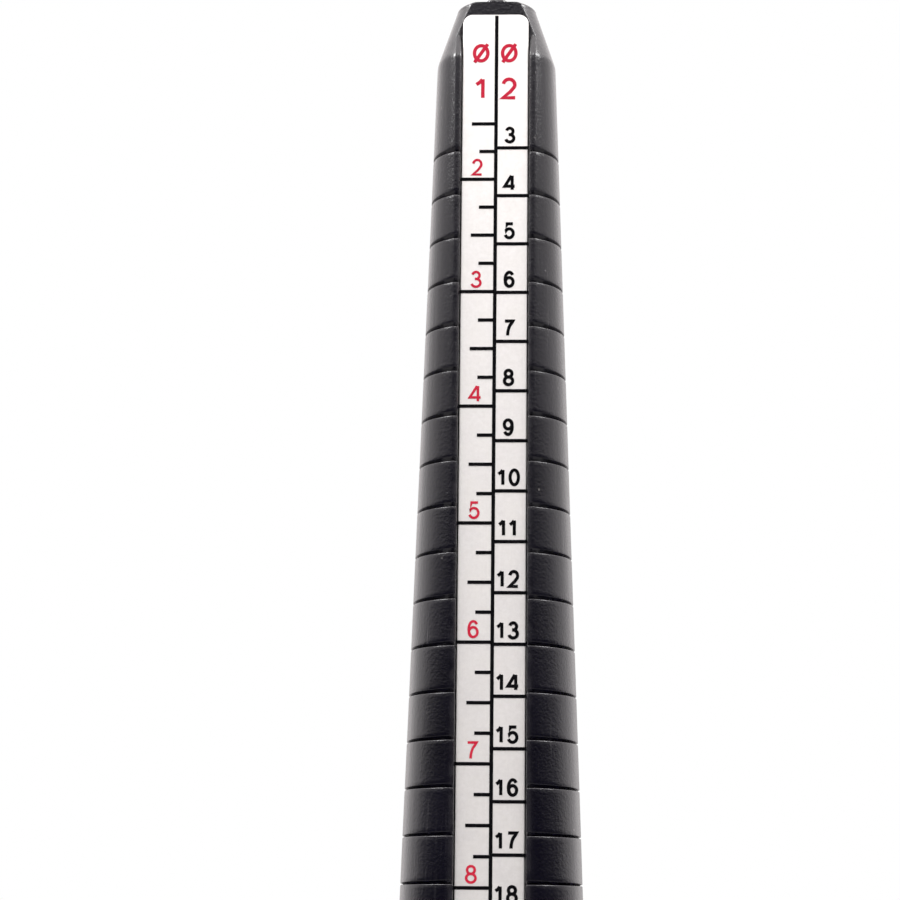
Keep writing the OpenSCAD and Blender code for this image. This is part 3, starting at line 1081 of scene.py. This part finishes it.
def lathe(profile, columns):
    """Points and faces of a profile of (z, r) turned about the Z axis, with flat ends."""
    turns = [2 * math.pi * i / columns for i in range(columns)]
    points = [(r * math.cos(a), r * math.sin(a), z) for z, r in profile for a in turns]
    return points, loft_faces(len(profile), columns)


def hole_ring(r, lip_r, inset, side):
    """A ring of the cross hole's cutter. It stands inset from the curve where the hole's lip, of
    radius lip_r, meets the round wall on the side -1 or 1. Without an inset it is flat."""
    ring = []
    for i in range(HOLE_COLUMNS):
        a = 2 * math.pi * (i + 0.5) / HOLE_COLUMNS
        depth = HANDLE_R + HOLE_BEYOND
        if inset is not None:
            depth = math.sqrt(HANDLE_R ** 2 - (lip_r * math.cos(a)) ** 2) - HOLE_SINK - inset
        ring.append((r * math.cos(a), side * depth, HOLE_Z + r * math.sin(a)))
    return ring


def hole_cutter():
    """The cross hole as a solid, which widens into a rounded lip at each side of the wall."""
    turn = arc((0, 0), HOLE_LIP, 0, HOLE_LIP_TURN, 8)
    lip = [(HOLE_R + HOLE_LIP - a, turn[-1][1] - b) for a, b in turn]
    lip_r = lip[-1][0]
    lip += [(lip_r + HOLE_FLARE, -HOLE_RISE), (lip_r + HOLE_FLARE, None)]
    rings = [hole_ring(r, lip_r, inset, -1) for r, inset in reversed(lip)]
    rings += [hole_ring(r, lip_r, inset, 1) for r, inset in lip]
    data = bpy.data.meshes.new("hang_hole_cutter")
    points = [p for ring in rings for p in ring]
    data.from_pydata(points, [], loft_faces(len(rings), HOLE_COLUMNS))
    work = bmesh.new()
    work.from_mesh(data)
    bmesh.ops.recalc_face_normals(work, faces=work.faces)
    work.to_mesh(data)
    work.free()
    cutter = bpy.data.objects.new("hang_hole_cutter", data)
    bpy.context.scene.collection.objects.link(cutter)
    return cutter


def cap_profile():
    """(height, radius) from the dish underneath, up the outside and the plug, and down the bore."""
    low, seam = CAP_LOW.z, HANDLE_LOW.z
    profile = [(low + depth, r) for depth, r in DISH]
    profile += corner(low + BUTT_ROUND, HANDLE_R - BUTT_ROUND, BUTT_ROUND, -90, 0, 9)
    profile += [(z, HANDLE_R) for z in spaced(low + BUTT_ROUND, seam - SEAM_ROUND, 16)]
    profile += corner(seam - SEAM_ROUND, HANDLE_R - SEAM_ROUND, SEAM_ROUND, 0, 90, 8)[1:]
    profile += [(seam, PLUG_R), (CAP_HIGH.z - 0.8 * MM, PLUG_R), (CAP_HIGH.z, PLUG_R - 0.5 * MM)]
    return profile + [(CAP_HIGH.z, CAP_BORE), (CAP_FLOOR, CAP_BORE), (CAP_FLOOR, END_R)]


def make_cap(material):
    """The butt: rounded rims, a shallow dish underneath, and a cross hole with rounded lips."""
    points, faces = lathe(cap_profile(), CAP_COLUMNS)
    cap = make_piece("butt_moulding", points, faces, material, ["butt_cap"])
    cutter = hole_cutter()
    cut = cap.modifiers.new("hang_hole", "BOOLEAN")
    cut.operation = "DIFFERENCE"
    cut.solver = "EXACT"
    cut.object = cutter
    graph = bpy.context.evaluated_depsgraph_get()
    drilled = bpy.data.meshes.new_from_object(cap.evaluated_get(graph))
    cap.modifiers.clear()
    cap.data = drilled
    drilled.shade_smooth()
    drilled.set_sharp_from_angle(angle=math.radians(HOLE_SHARP))
    bpy.data.objects.remove(cutter)


# ---------------------------------------------------------------- the whole stick

def paint(node, material):
    """Gives a CAD node that stays a better material."""
    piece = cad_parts[node]
    piece.data.materials.clear()
    piece.data.materials.append(material)


def make_stick():
    gauge_plastic = plastic("gauge_plastic", GAUGE_BLACK, GAUGE_FINISH)
    handle_plastic = plastic("handle_plastic", HANDLE_BLACK, HANDLE_FINISH)
    metal = strip_metal()
    black = ink("black_ink", BLACK_INK, BLACK_THIN)
    red = ink("red_ink", RED_INK, RED_THIN)
    tape = adhesive()
    make_gauge(gauge_plastic)
    make_strip("front_strip_plate", FRONT, metal, "front_scale_strip")
    make_strip("rear_strip_plate", REAR, metal, "rear_scale_strip")
    make_handle(handle_plastic)
    make_cap(handle_plastic)
    print_scales(black, red)
    for side in ("front", "rear"):
        paint(side + "_scale_lines", black)
        paint(side + "_strip_tape", tape)


make_camera()
make_world()
make_stage()
make_stick()
bpy.context.scene.view_settings.view_transform = "Standard"
